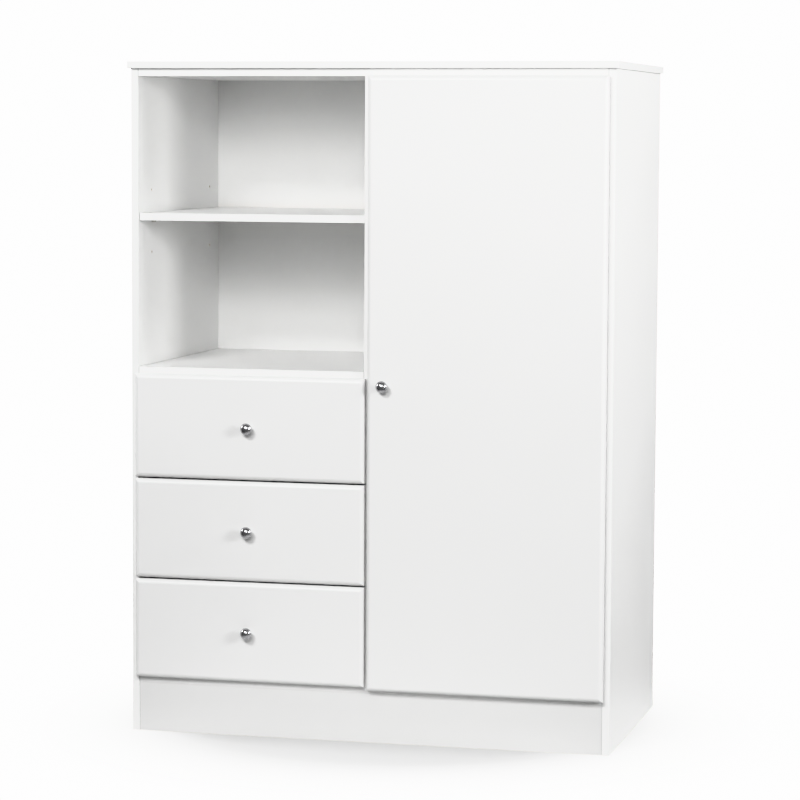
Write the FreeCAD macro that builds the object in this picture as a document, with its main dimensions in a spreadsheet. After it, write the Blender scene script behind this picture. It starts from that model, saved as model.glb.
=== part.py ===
import FreeCAD, Part
import math
import os
import re
import Sketcher

# White board chifforobe: an open shelf bay over three drawers on the left,
# a tall door over a hanging space on the right. Millimetres, +Z up, the front
# faces -Y, and the origin is on the floor at the middle of the overall box.

doc = FreeCAD.newDocument("chifforobe")
ORIGIN = FreeCAD.Vector(0, 0, 0)
UP = FreeCAD.Vector(0, 0, 1)
SAME_LEVEL = 1e-6
LEAST_CUT = 0.1

# Driving dimensions, one cell each.
sizes = {
    "carcass_width": 1000,
    "carcass_height": 1362,
    "carcass_depth": 542,
    "panel_thickness": 15,
    "top_thickness": 15,
    "top_overhang": 6,
    "top_front_overhang": 10,
    "top_edge_radius": 2,
    "back_thickness": 3,
    "back_inset": 2,
    "kick_height": 102,
    "kick_thickness": 15,
    "kick_setback": 1,
    "rear_kick_inset": 40,
    "drawer_bay_height": 623,
    "shelf_setback": 6,
    "shelf_rear_gap": 10,
    "shelf_end_gap": 2,
    "pin_row_pitch": 64,
    "pin_front_inset": 86,
    "pin_rear_inset": 62,
    "pin_diameter": 5,
    "pin_stem_length": 9,
    "pin_peg_diameter": 6,
    "pin_peg_length": 9,
    "pin_tip_radius": 1,
    "hole_fit": 0.1,
    "hole_bottom_gap": 1,
    "front_thickness": 16,
    "front_edge_radius": 9,
    "front_back_radius": 2,
    "front_overlay": 3,
    "front_middle_gap": 4.5,
    "drawer_front_gap": 3,
    "drawer_front_lap": 2,
    "top_front_extra": 8,
    "door_lap_top": 1,
    "door_lap_bottom": 8,
    "door_knob_inset": 35,
    "knob_diameter": 24,
    "knob_projection": 24,
    "knob_head_height": 10,
    "knob_rim_radius": 1.2,
    "knob_edge_height": 3,
    "knob_edge_radius": 1.5,
    "knob_tip_ease": 1.5,
    "knob_neck_diameter": 9,
    "knob_neck_radius": 3,
    "knob_base_diameter": 13,
    "knob_base_height": 2,
    "knob_screw_diameter": 4,
    "knob_screw_bite": 9,
    "screw_head_diameter": 8,
    "screw_head_height": 2.5,
    "drawer_side_thickness": 15,
    "drawer_side_height": 150,
    "drawer_rear_gap": 65,
    "drawer_side_rise": 20,
    "drawer_side_gap": 1.5,
    "drawer_back_thickness": 15,
    "drawer_back_drop": 12,
    "drawer_bottom_thickness": 3,
    "drawer_bottom_rise": 12,
    "groove_depth": 5,
    "groove_fit": 0.4,
    "box_screw_diameter": 5,
    "box_screw_length": 45,
    "box_screw_inset": 30,
    "runner_height": 17,
    "runner_rear_inset": 82,
    "runner_rise": 60,
    "runner_bite": 6.5,
    "runner_fit": 0.3,
    "runner_end_gap": 0.5,
    "runner_front_inset": 20,
    "runner_screw_diameter": 4,
    "runner_screw_bite": 11,
    "runner_screw_inset": 40,
    "runner_screw_recess": 4,
    "hinge_inset": 100,
    "hinge_pin_diameter": 3,
    "hinge_pin_fit": 0.1,
    "swing_clearance": 0.7,
    "knuckle_wall_gap": 0.4,
    "knuckle_floor_gap": 0.7,
    "lug_gap": 0.3,
    "lug_thickness": 2,
    "lug_margin": 1.5,
    "cup_diameter": 35,
    "cup_depth": 12.5,
    "cup_wall": 1,
    "cup_floor": 0.8,
    "cup_edge": 4,
    "cup_rim": 1.5,
    "cup_flange": 1,
    "cup_wing_margin": 6,
    "cup_wing_width": 14,
    "cup_screw_spacing": 48,
    "cup_screw_offset": 6,
    "hinge_screw_diameter": 4,
    "hinge_screw_bite": 11,
    "hinge_screw_head": 7,
    "hinge_screw_dome": 2,
    "arm_thickness": 1.6,
    "arm_width": 10,
    "arm_knuckle_diameter": 5,
    "arm_neck_clearance": 1.9,
    "arm_neck_radius": 4,
    "arm_sway": 7,
    "arm_sway_radius": 3,
    "arm_rise": 10.7,
    "arm_length": 62,
    "arm_channel_width": 14,
    "plate_setback": 37,
    "plate_thickness": 2,
    "plate_wing_width": 14,
    "plate_screw_spacing": 32,
    "plate_wing_margin": 6,
    "plate_seat_width": 19,
    "plate_ridge_fit": 0.2,
    "rod_diameter": 25,
    "rod_wall": 1.5,
    "rod_drop": 60,
    "rod_fit": 0.4,
    "rod_end_gap": 0.5,
    "socket_diameter": 48,
    "socket_flange": 3,
    "socket_collar_length": 10,
    "socket_collar_wall": 3,
    "cam_diameter": 15,
    "cam_height": 12,
    "cam_recess": 0.3,
    "cam_reach": 34,
    "cam_inset": 60,
    "cam_fit": 0.2,
    "bolt_diameter": 6,
    "bolt_head_diameter": 7,
    "bolt_head_length": 5,
    "bolt_thread_diameter": 5,
    "bolt_thread_length": 11,
    "divider_screw_length": 50,
    "dowel_diameter": 8,
    "dowel_length": 30,
    "dowel_bite": 11,
    "dowel_inset": 25,
}

drawer_names = ["bottom_drawer", "middle_drawer", "top_drawer"]
pin_rows = (-1, 0, 1)

# Places and sizes that follow from the driving dimensions.
layout = {
    "cup_inner": "cup_diameter / 2 - cup_wall",
    "cup_axis": "cup_edge + cup_diameter / 2",
    "knob_dome_height": "knob_head_height - knob_edge_height",
    "knob_crown_reach": "((knob_diameter / 2) ^ 2 + knob_dome_height ^ 2) / knob_diameter",
    "knob_dome_radius": "knob_crown_reach * knob_diameter / 2 / knob_dome_height - knob_tip_ease",
    "hinge_pin_depth": "cup_depth - cup_floor - knuckle_floor_gap - arm_knuckle_diameter / 2",
    "cup_to_pin": "sqrt(cup_inner ^ 2 - (arm_width / 2) ^ 2) - knuckle_wall_gap"
                  " - arm_knuckle_diameter / 2",
    "hinge_pin_edge": "cup_axis - cup_to_pin",
    "swing_radius": "sqrt((hinge_pin_edge - front_back_radius) ^ 2"
                    " + (hinge_pin_depth - front_back_radius) ^ 2) + front_back_radius",
    "front_standoff": "swing_radius + swing_clearance - hinge_pin_depth",
    "front_plane": "(knob_projection + front_thickness + front_standoff"
                   " - carcass_depth - back_thickness) / 2",
    "back_face": "front_plane + carcass_depth",
    "half_width": "carcass_width / 2",
    "side_inner": "half_width - panel_thickness",
    "half_panel": "panel_thickness / 2",
    "bay_width": "side_inner - half_panel",
    "between_sides": "carcass_width - 2 * panel_thickness",
    "bottom_top": "kick_height + panel_thickness",
    "fixed_shelf_base": "bottom_top + drawer_bay_height",
    "fixed_shelf_top": "fixed_shelf_base + panel_thickness",
    "ceiling": "carcass_height - panel_thickness",
    "pin_hole_depth": "pin_stem_length + hole_bottom_gap",
    "shelf_pin_height": "(fixed_shelf_top + ceiling) / 2",
    "front_back": "front_plane - front_standoff",
    "front_face": "front_back - front_thickness",
    "front_width": "bay_width + half_panel + front_overlay - front_middle_gap / 2",
    "left_front_low": "-side_inner - front_overlay",
    "drawer_front_base": "bottom_top - drawer_front_lap",
    "drawer_front_height": "(drawer_bay_height + 2 * drawer_front_lap + drawer_front_gap"
                           f" - top_front_extra) / {len(drawer_names)} - drawer_front_gap",
    "drawer_pitch": "drawer_front_height + drawer_front_gap",
    "box_left": "-side_inner + drawer_side_gap",
    "box_width": "bay_width - 2 * drawer_side_gap",
    "box_inner": "box_width - 2 * drawer_side_thickness",
    "groove_height": "drawer_bottom_thickness + groove_fit",
    "tongue": "groove_depth - groove_fit",
    "back_board_base": "drawer_bottom_rise + groove_height",
    "back_board_height": "drawer_side_height - back_board_base - drawer_back_drop",
    "drawer_side_length": "carcass_depth + front_standoff - drawer_rear_gap",
    "runner_length": "carcass_depth - runner_front_inset - runner_rear_inset",
    "runner_thickness": "drawer_side_gap + runner_bite",
    "runner_groove_depth": "runner_bite + runner_end_gap",
    "runner_groove_start": "runner_front_inset + front_standoff - runner_end_gap",
    "door_left": "front_middle_gap / 2",
    "door_right": "side_inner + front_overlay",
    "door_base": "bottom_top - door_lap_bottom",
    "door_height": "ceiling + door_lap_top - door_base",
    "pin_to_panel": "hinge_pin_edge - front_overlay",
    "pin_to_carcass": "hinge_pin_depth + front_standoff",
    "arm_neck_reach": "swing_radius + arm_neck_clearance + arm_thickness / 2",
    "arm_neck_length": "swing_radius + swing_clearance",
    "arm_top": "arm_rise - pin_to_panel",
    "sway_shift": "arm_thickness * tan(atan((arm_neck_reach + arm_thickness / 2 - arm_top)"
                  " / arm_sway) / 2)",
    "channel_start": "arm_neck_length + arm_sway",
    "plate_ridge_width": "arm_channel_width - 2 * arm_thickness - 2 * plate_ridge_fit",
    "plate_ridge_height": "arm_rise - arm_thickness - plate_ridge_fit",
    "plate_seat_start": "channel_start - pin_to_carcass - plate_setback",
    "plate_seat_length": "arm_length - channel_start",
    "rod_height": "ceiling - rod_drop",
    "rod_start": "socket_flange + rod_end_gap",
    "bolt_bore": "bolt_head_diameter + cam_fit",
    "bolt_length": "cam_reach + hole_bottom_gap",
    "cam_slot_floor": "half_panel - cam_recess - bolt_bore / 2",
    "screw_recess": "screw_head_height + cam_recess",
}

sheet = doc.addObject("Spreadsheet::Sheet", "Sizes")
for row, (alias, number) in enumerate(sizes.items(), start=1):
    sheet.set(f"A{row}", alias)
    sheet.set(f"B{row}", str(number))
    sheet.setAlias(f"B{row}", alias)


def ref(text):
    """A size expression whose bare names point to the sheets that hold them."""
    def point(match):
        word = match.group()
        if word in sizes:
            return f"Sizes.{word}"
        return f"Layout.{word}" if word in layout else word

    return re.sub(r"[A-Za-z_]\w*", point, str(text))


plan = doc.addObject("Spreadsheet::Sheet", "Layout")
for row, (alias, text) in enumerate(layout.items(), start=1):
    plan.set(f"A{row}", alias)
    plan.set(f"B{row}", "=" + ref(text).replace("Layout.", ""))
    plan.setAlias(f"B{row}", alias)
doc.recompute()


def worth(text):
    """The number that a size expression has now."""
    return float(sheet.evalExpression(ref(text)))


nodes = []


def new_body(label, x, y, z, turned=False):
    """An empty body placed at three size expressions, half turned about Z if asked."""
    piece = doc.addObject("PartDesign::Body", label)
    piece.Label = label
    if turned:
        piece.Placement = FreeCAD.Placement(ORIGIN, FreeCAD.Rotation(UP, 180))
    for axis, text in zip("xyz", (x, y, z)):
        piece.setExpression(f"Placement.Base.{axis}", ref(text))
    return piece


def new_sketch(piece, role, offset="0"):
    """A sketch on one of the body's own origin planes, moved along its normal."""
    plane = next(item for item in piece.Origin.OriginFeatures if item.Role == role)
    drawing = piece.newObject("Sketcher::SketchObject", "Sketch")
    drawing.AttachmentSupport = [(plane, "")]
    drawing.MapMode = "FlatFace"
    drawing.setExpression("AttachmentOffset.Base.z", ref(offset))
    return drawing


def bind_constraints(drawing, bound):
    """Add dimensional constraints and tie each one to its size expression."""
    added = drawing.addConstraint([constraint for constraint, text in bound])
    for index, (constraint, text) in zip(added, bound):
        name = f"size{index}"
        drawing.renameConstraint(index, name)
        drawing.setExpression(f"Constraints.{name}", ref(text))


def draw_outline(drawing, corners):
    """Draw a closed outline through corners (x, y) or (x, y, radius), rounding the latter."""
    points = [FreeCAD.Vector(worth(corner[0]), worth(corner[1]), 0) for corner in corners]
    radii = [corner[2] if len(corner) > 2 else None for corner in corners]
    count = len(corners)
    starts = list(points)
    ends = list(points)
    arcs = {}
    for index, radius in enumerate(radii):
        if radius is None:
            continue
        here = points[index]
        before = (points[index - 1] - here).normalize()
        after = (points[(index + 1) % count] - here).normalize()
        half = before.getAngle(after) / 2
        size = worth(radius)
        ends[index] = here + before * (size / math.tan(half))
        starts[index] = here + after * (size / math.tan(half))
        center = here + (before + after).normalize() * (size / math.sin(half))
        spokes = [ends[index] - center, starts[index] - center]
        left_turn = spokes[0].cross(spokes[1]).z > 0
        angles = [math.atan2(spoke.y, spoke.x) for spoke in spokes]
        first, last = angles if left_turn else reversed(angles)
        if last < first:
            last += 2 * math.pi
        circle = Part.Circle(center, UP, size)
        arcs[index] = (Part.ArcOfCircle(circle, first, last), left_turn)
    lines = [Part.LineSegment(starts[index], ends[(index + 1) % count]) for index in range(count)]
    base = drawing.addGeometry(lines)[0]
    loose = []
    bound = []
    for index, corner in enumerate(corners):
        line = base + index
        previous = base + (index - 1) % count
        if index in arcs:
            arc, left_turn = arcs[index]
            bend = drawing.addGeometry(arc)
            mark = drawing.addGeometry(Part.Point(points[index]), True)
            entry, leave = (1, 2) if left_turn else (2, 1)
            loose.append(Sketcher.Constraint("Tangent", previous, 2, bend, entry))
            loose.append(Sketcher.Constraint("Tangent", bend, leave, line, 1))
            loose.append(Sketcher.Constraint("PointOnObject", mark, 1, previous))
            loose.append(Sketcher.Constraint("PointOnObject", mark, 1, line))
            bound.append((Sketcher.Constraint("Radius", bend, worth(corner[2])), corner[2]))
            place = (mark, 1)
        else:
            loose.append(Sketcher.Constraint("Coincident", previous, 2, line, 1))
            place = (line, 1)
        bound.append((Sketcher.Constraint("DistanceX", -1, 1, *place, points[index].x), corner[0]))
        bound.append((Sketcher.Constraint("DistanceY", -1, 1, *place, points[index].y), corner[1]))
    drawing.addConstraint(loose)
    bind_constraints(drawing, bound)


def draw_box(drawing, low_x, low_y, width, height):
    """Draw a rectangle from its low corner and its two sides."""
    high_x = f"({low_x}) + ({width})"
    high_y = f"({low_y}) + ({height})"
    draw_outline(drawing, [(low_x, low_y), (high_x, low_y), (high_x, high_y), (low_x, high_y)])


def draw_circles(drawing, centers, diameter):
    """Draw equal circles at a list of (x, y) size expressions."""
    bound = []
    for x, y in centers:
        center = FreeCAD.Vector(worth(x), worth(y), 0)
        ring = drawing.addGeometry(Part.Circle(center, UP, worth(diameter) / 2))
        bound.append((Sketcher.Constraint("DistanceX", -1, 1, ring, 3, center.x), x))
        bound.append((Sketcher.Constraint("DistanceY", -1, 1, ring, 3, center.y), y))
        bound.append((Sketcher.Constraint("Diameter", ring, worth(diameter)), diameter))
    bind_constraints(drawing, bound)


def extrude(piece, kind, drawing, length, backward=False):
    """Add a Pad or a Pocket of the drawing."""
    feature = piece.newObject(f"PartDesign::{kind}", kind)
    feature.Profile = drawing
    feature.setExpression("Length", ref(length))
    feature.Reversed = backward
    return feature


def pad_box(piece, role, offset, low_x, low_y, width, height, length):
    """Pad a rectangle drawn on a plane of the body."""
    drawing = new_sketch(piece, role, offset)
    draw_box(drawing, low_x, low_y, width, height)
    return extrude(piece, "Pad", drawing, length)


def pocket_box(piece, role, offset, low_x, low_y, width, height, depth, backward=False):
    """Cut a rectangular pocket."""
    drawing = new_sketch(piece, role, offset)
    draw_box(drawing, low_x, low_y, width, height)
    return extrude(piece, "Pocket", drawing, depth, backward)


def pocket_holes(piece, role, offset, centers, diameter, depth, backward=False):
    """Bore equal round holes."""
    drawing = new_sketch(piece, role, offset)
    draw_circles(drawing, centers, diameter)
    return extrude(piece, "Pocket", drawing, depth, backward)


def revolve(piece, corners, axis):
    """Turn an outline drawn in the body's XY plane about that plane's X or Y axis."""
    drawing = new_sketch(piece, "XY_Plane")
    draw_outline(drawing, corners)
    feature = piece.newObject("PartDesign::Revolution", "Revolution")
    feature.Profile = drawing
    feature.ReferenceAxis = (drawing, ["H_Axis" if axis == "x" else "V_Axis"])
    feature.Angle = 360
    return feature


def round_edges(piece, radius, level):
    """Round the edges that lie in the body's plane of one Y level."""
    doc.recompute()
    base = piece.Tip
    height = worth(level)
    names = []
    for number, edge in enumerate(base.Shape.Edges, start=1):
        if all(abs(vertex.Y - height) < SAME_LEVEL for vertex in edge.Vertexes):
            names.append(f"Edge{number}")
    feature = piece.newObject("PartDesign::Fillet", "Fillet")
    feature.Base = (base, names)
    feature.setExpression("Radius", ref(radius))
    return feature


def keep(piece):
    """Keep a finished piece as a node of its own."""
    nodes.append(piece)
    return piece


def keep_group(label, pieces):
    """Keep like pieces together as one node of separate solids."""
    cluster = doc.addObject("Part::Compound", label)
    cluster.Label = label
    cluster.Links = pieces
    nodes.append(cluster)


def board(label, low, size):
    """A flat board from its low corner, in its own frame at that corner."""
    piece = new_body(label, *low)
    pad_box(piece, "XY_Plane", "0", "0", "0", size[0], size[1], size[2])
    return piece


def screw(label, place, length, diameter, head, dome, turned=False):
    """A screw along X: its shank runs to -X from the seat of its head, which stands to +X."""
    piece = new_body(label, *place, turned=turned)
    tip = f"-({length})"
    revolve(piece, [(tip, "0"), (dome, "0"), (dome, f"{head} / 4"), (f"{dome} / 2", f"{head} / 2"),
                    ("0", f"{head} / 2"), ("0", f"{diameter} / 2"), (tip, f"{diameter} / 2")], "x")
    return piece


# Where the fittings stand: lines run from front to back, joints and heights upward.
cam_lines = ["cam_inset", "carcass_depth - cam_inset"]
pin_lines = ["pin_front_inset", "carcass_depth - pin_rear_inset"]
kick_lines = ["kick_setback + kick_thickness / 2",
              "carcass_depth - rear_kick_inset - kick_thickness / 2"]
runner_screw_lines = ["runner_front_inset + runner_screw_inset",
                      "runner_front_inset + runner_length - runner_screw_inset"]
dowel_heights = ["dowel_inset", "kick_height - dowel_inset"]
hinge_heights = ["door_base + hinge_inset", "door_base + door_height / 2",
                 "door_base + door_height - hinge_inset"]
bottom_joint = "kick_height + half_panel"
top_joint = "carcass_height - half_panel"
shelf_joint = "fixed_shelf_base + half_panel"


def pin_holes(base):
    """Centres of the shelf pin holes on a panel that starts at a given height."""
    return [(line, f"shelf_pin_height + ({row}) * pin_row_pitch - ({base})")
            for line in pin_lines for row in pin_rows]


def runner_center(index):
    """Height of the middle of one drawer's runners."""
    return f"(drawer_front_base + {index} * drawer_pitch + drawer_side_rise + runner_rise)"


def runner_holes(base):
    """Centres of the runner screws on a panel that starts at a given height."""
    return [(line, f"{runner_center(index)} - ({base})")
            for line in runner_screw_lines for index in range(len(drawer_names))]


def at_hinges(stem, maker):
    """One piece at the height of every hinge."""
    return [maker(f"{stem}_{index}", height) for index, height in enumerate(hinge_heights)]


# Side panels: full-height boards that stand on the floor, bored on their inner faces.
def side_panel(label, low_x, inner_offset, from_low, joints):
    piece = board(label, (low_x, "front_plane", "0"),
                  ("panel_thickness", "carcass_depth", "carcass_height"))
    bolt_holes = [(line, joint) for line in cam_lines for joint in joints]
    pocket_holes(piece, "YZ_Plane", inner_offset, bolt_holes, "bolt_thread_diameter + hole_fit",
                 "bolt_thread_length + hole_bottom_gap", from_low)
    dowel_holes = [(line, height) for line in kick_lines for height in dowel_heights]
    pocket_holes(piece, "YZ_Plane", inner_offset, dowel_holes, "dowel_diameter + hole_fit",
                 "dowel_bite + hole_bottom_gap", from_low)
    return keep(piece)


left_side = side_panel("left_side_panel", "-half_width", "panel_thickness", False,
                       [bottom_joint, shelf_joint, top_joint])
pocket_holes(left_side, "YZ_Plane", "panel_thickness", pin_holes("0"), "pin_diameter + hole_fit",
             "pin_hole_depth")
pocket_holes(left_side, "YZ_Plane", "panel_thickness", runner_holes("0"),
             "runner_screw_diameter + hole_fit", "runner_screw_bite + hole_bottom_gap")
right_side = side_panel("right_side_panel", "side_inner", "0", True, [bottom_joint, top_joint])
plate_holes = [("plate_setback", f"{height} + ({sign}) * plate_screw_spacing / 2")
               for height in hinge_heights for sign in (-1, 1)]
pocket_holes(right_side, "YZ_Plane", "0", plate_holes, "hinge_screw_diameter + hole_fit",
             "hinge_screw_bite + hole_bottom_gap", True)

# Centre divider between the bottom panel and the sub-top, screwed at both ends.
divider_height = "(ceiling - bottom_top)"
divider = keep(board("center_divider", ("-half_panel", "front_plane", "bottom_top"),
                     ("panel_thickness", "carcass_depth", divider_height)))
divider_screw_bite = "divider_screw_length - panel_thickness + screw_recess + hole_bottom_gap"
divider_holes = [("half_panel", line) for line in cam_lines]
pocket_holes(divider, "XY_Plane", divider_height, divider_holes, "box_screw_diameter + hole_fit",
             divider_screw_bite)
pocket_holes(divider, "XY_Plane", "0", divider_holes, "box_screw_diameter + hole_fit",
             divider_screw_bite, True)
pocket_holes(divider, "YZ_Plane", "0", [(line, f"{shelf_joint} - bottom_top") for line in cam_lines],
             "bolt_thread_diameter + hole_fit", "bolt_thread_length + hole_bottom_gap", True)
pocket_holes(divider, "YZ_Plane", "0", pin_holes("bottom_top"), "pin_diameter + hole_fit",
             "pin_hole_depth", True)
pocket_holes(divider, "YZ_Plane", "0", runner_holes("bottom_top"),
             "runner_screw_diameter + hole_fit", "runner_screw_bite + hole_bottom_gap", True)


# Level boards held by cam fittings: a bolt runs in from each end to a disc let into the underside.
def cam_board(label, low, width):
    piece = board(label, low, (width, "carcass_depth", "panel_thickness"))
    end_holes = [(line, "half_panel") for line in cam_lines]
    pocket_holes(piece, "YZ_Plane", "0", end_holes, "bolt_bore", "cam_reach", True)
    pocket_holes(piece, "YZ_Plane", width, end_holes, "bolt_bore", "cam_reach")
    disc_holes = [(x, line) for x in ("cam_reach", f"{width} - cam_reach") for line in cam_lines]
    pocket_holes(piece, "XY_Plane", "0", disc_holes, "cam_diameter + cam_fit",
                 "cam_height + 2 * cam_recess", True)
    return keep(piece)


bottom = cam_board("bottom_panel", ("-side_inner", "front_plane", "kick_height"), "between_sides")
sub_top = cam_board("sub_top", ("-side_inner", "front_plane", "ceiling"), "between_sides")
cam_board("fixed_shelf", ("-side_inner", "front_plane", "fixed_shelf_base"), "bay_width")
middle_holes = [("side_inner", line) for line in cam_lines]
for panel, head_level, from_low in ((bottom, "0", True), (sub_top, "panel_thickness", False)):
    pocket_holes(panel, "XY_Plane", head_level, middle_holes, "box_screw_diameter + hole_fit",
                 "panel_thickness", from_low)
    pocket_holes(panel, "XY_Plane", head_level, middle_holes, "screw_head_diameter + hole_fit",
                 "screw_recess", from_low)

# Top board, overhanging the front and both sides, with eased front corners.
top = keep(board("top_board",
                 ("-half_width - top_overhang", "front_plane - top_front_overhang", "carcass_height"),
                 ("carcass_width + 2 * top_overhang",
                  "carcass_depth + back_thickness + top_front_overhang", "top_thickness")))
round_edges(top, "top_edge_radius", "0")

# Adjustable shelf, short of both panels, on four pins in the bored rows.
keep(board("adjustable_shelf",
           ("-side_inner + shelf_end_gap", "front_plane + shelf_setback",
            "shelf_pin_height + pin_peg_diameter / 2"),
           ("bay_width - 2 * shelf_end_gap", "carcass_depth - shelf_setback - shelf_rear_gap",
            "panel_thickness")))


def shelf_pin(label, x, line, turned):
    piece = new_body(label, x, f"front_plane + {line}", "shelf_pin_height", turned)
    revolve(piece, [("-pin_stem_length", "0"), ("pin_peg_length", "0"),
                    ("pin_peg_length", "pin_peg_diameter / 2", "pin_tip_radius"),
                    ("0", "pin_peg_diameter / 2"), ("0", "pin_diameter / 2"),
                    ("-pin_stem_length", "pin_diameter / 2")], "x")
    return piece


keep_group("shelf_pins", [shelf_pin(f"shelf_pin_{side}_{index}", x, f"({line})", turned)
                          for side, x, turned in (("left", "-side_inner", False),
                                                  ("right", "-half_panel", True))
                          for index, line in enumerate(pin_lines)])


# Kick boards between the side panels, held by dowels, and the block under the divider.
def kick_board(label, line):
    low_y = f"front_plane + {line} - kick_thickness / 2"
    piece = board(label, ("-side_inner", low_y, "0"), ("between_sides", "kick_thickness", "kick_height"))
    end_holes = [("kick_thickness / 2", height) for height in dowel_heights]
    depth = "dowel_length - dowel_bite + hole_bottom_gap"
    pocket_holes(piece, "YZ_Plane", "0", end_holes, "dowel_diameter + hole_fit", depth, True)
    pocket_holes(piece, "YZ_Plane", "between_sides", end_holes, "dowel_diameter + hole_fit", depth)
    return keep(piece)


kick_board("front_kick_board", kick_lines[0])
kick_board("rear_kick_board", kick_lines[1])
keep(board("plinth_block", ("-half_panel", "front_plane + kick_setback + kick_thickness", "0"),
           ("panel_thickness", "carcass_depth - kick_setback - rear_kick_inset - 2 * kick_thickness",
            "kick_height")))


def dowel(label, x, line, height):
    piece = new_body(label, x, f"front_plane + {line}", height)
    drawing = new_sketch(piece, "YZ_Plane")
    draw_circles(drawing, [("0", "0")], "dowel_diameter")
    extrude(piece, "Pad", drawing, "dowel_length")
    return piece


keep_group("kick_dowels", [dowel(f"kick_dowel_{side}_{row}_{level}", x, line, height)
                           for side, x in (("left", "-side_inner - dowel_bite"),
                                           ("right", "side_inner + dowel_bite - dowel_length"))
                           for row, line in enumerate(kick_lines)
                           for level, height in enumerate(dowel_heights)])

# Back panel: a thin sheet over the rear edges, a little short of the outside all round.
keep(board("back_panel", ("-half_width + back_inset", "back_face", "kick_height"),
           ("carcass_width - 2 * back_inset", "back_thickness",
            "carcass_height - kick_height - back_inset")))


# Cam bolts and discs of the bottom panel, the fixed shelf and the sub-top.
def cam_bolt(label, x, line, height, turned):
    piece = new_body(label, x, f"front_plane + {line}", height, turned)
    head_start = "bolt_length - bolt_head_length"
    revolve(piece, [("-bolt_thread_length", "0"), ("bolt_length", "0"),
                    ("bolt_length", "bolt_head_diameter / 2"),
                    (head_start, "bolt_head_diameter / 2"), (head_start, "bolt_diameter / 2"),
                    ("0", "bolt_diameter / 2"), ("0", "bolt_thread_diameter / 2"),
                    ("-bolt_thread_length", "bolt_thread_diameter / 2")], "x")
    return piece


def cam_disc(label, x, line, height, turned):
    piece = new_body(label, x, f"front_plane + {line}", f"{height} - half_panel + cam_recess", turned)
    drawing = new_sketch(piece, "XY_Plane")
    draw_circles(drawing, [("cam_reach", "0")], "cam_diameter")
    extrude(piece, "Pad", drawing, "cam_height")
    slot_end = "bolt_length + hole_bottom_gap"
    slot_start = "cam_reach - cam_diameter"
    pocket_box(piece, "XY_Plane", "cam_height", slot_start, "-bolt_bore / 2",
               f"{slot_end} - ({slot_start})", "bolt_bore", "cam_height - cam_slot_floor")
    return piece


cam_joints = [("-side_inner", bottom_joint, False), ("side_inner", bottom_joint, True),
              ("-side_inner", top_joint, False), ("side_inner", top_joint, True),
              ("-side_inner", shelf_joint, False), ("-half_panel", shelf_joint, True)]
for label, maker in (("cam_bolts", cam_bolt), ("cam_discs", cam_disc)):
    keep_group(label, [maker(f"{label}_{index}_{row}", x, f"({line})", height, turned)
                       for index, (x, height, turned) in enumerate(cam_joints)
                       for row, line in enumerate(cam_lines)])


# Long screws through the bottom panel and the sub-top into the ends of the divider.
def divider_screw(label, line, seat, upward):
    piece = new_body(label, "0", f"front_plane + {line}", seat)
    shank = new_sketch(piece, "XY_Plane")
    draw_circles(shank, [("0", "0")], "box_screw_diameter")
    extrude(piece, "Pad", shank, "divider_screw_length", not upward)
    head = new_sketch(piece, "XY_Plane")
    draw_circles(head, [("0", "0")], "screw_head_diameter")
    extrude(piece, "Pad", head, "screw_head_height", upward)
    return piece


keep_group("divider_screws", [divider_screw(f"divider_screw_{end}_{row}", f"({line})", seat, upward)
                              for end, seat, upward in (("low", "kick_height + screw_recess", True),
                                                        ("high", "carcass_height - screw_recess", False))
                              for row, line in enumerate(cam_lines)])


# Hanging rod across the door bay, in a flanged socket at each end.
def rod_socket(label, x, turned):
    piece = new_body(label, x, "front_plane + carcass_depth / 2", "rod_height", turned)
    bore = "(rod_diameter + rod_fit) / 2"
    collar = f"{bore} + socket_collar_wall"
    reach = "socket_flange + socket_collar_length"
    revolve(piece, [("0", "0"), ("socket_flange", "0"), ("socket_flange", bore), (reach, bore),
                    (reach, collar), ("socket_flange", collar), ("socket_flange", "socket_diameter / 2"),
                    ("0", "socket_diameter / 2")], "x")
    return piece


rod = keep(new_body("hanging_rod", "half_panel + rod_start", "front_plane + carcass_depth / 2",
                    "rod_height"))
rod_ring = new_sketch(rod, "YZ_Plane")
draw_circles(rod_ring, [("0", "0")], "rod_diameter")
draw_circles(rod_ring, [("0", "0")], "rod_diameter - 2 * rod_wall")
extrude(rod, "Pad", rod_ring, "bay_width - 2 * rod_start")
keep_group("rod_sockets", [rod_socket("rod_socket_left", "half_panel", False),
                           rod_socket("rod_socket_right", "side_inner", True)])


# Drawer runners: plain strips screwed to the left side panel and the divider.
def runner(label, low_x, index, head_level, from_low):
    low_z = f"{runner_center(index)} - runner_height / 2"
    piece = board(label, (low_x, "front_plane + runner_front_inset", low_z),
                  ("runner_thickness", "runner_length", "runner_height"))
    holes = [(f"{line} - runner_front_inset", "runner_height / 2") for line in runner_screw_lines]
    pocket_holes(piece, "YZ_Plane", head_level, holes, "runner_screw_diameter + hole_fit",
                 "runner_thickness", from_low)
    pocket_holes(piece, "YZ_Plane", head_level, holes, "screw_head_diameter + hole_fit",
                 "runner_screw_recess", from_low)
    return piece


runner_screw_shank = "runner_thickness - runner_screw_recess + runner_screw_bite"
runner_screws = []
for side, low_x, head_level, from_low, seat in (
        ("left", "-side_inner", "runner_thickness", False,
         "-side_inner + runner_thickness - runner_screw_recess"),
        ("right", "-half_panel - runner_thickness", "0", True,
         "-half_panel - runner_thickness + runner_screw_recess")):
    strips = [runner(f"{side}_runner_{index}", low_x, index, head_level, from_low)
              for index in range(len(drawer_names))]
    keep_group(f"{side}_drawer_runners", strips)
    for index in range(len(drawer_names)):
        for row, line in enumerate(runner_screw_lines):
            place = (seat, f"front_plane + {line}", runner_center(index))
            runner_screws.append(screw(f"{side}_runner_screw_{index}_{row}", place, runner_screw_shank,
                                       "runner_screw_diameter", "screw_head_diameter",
                                       "screw_head_height", from_low))
keep_group("runner_screws", runner_screws)


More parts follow.
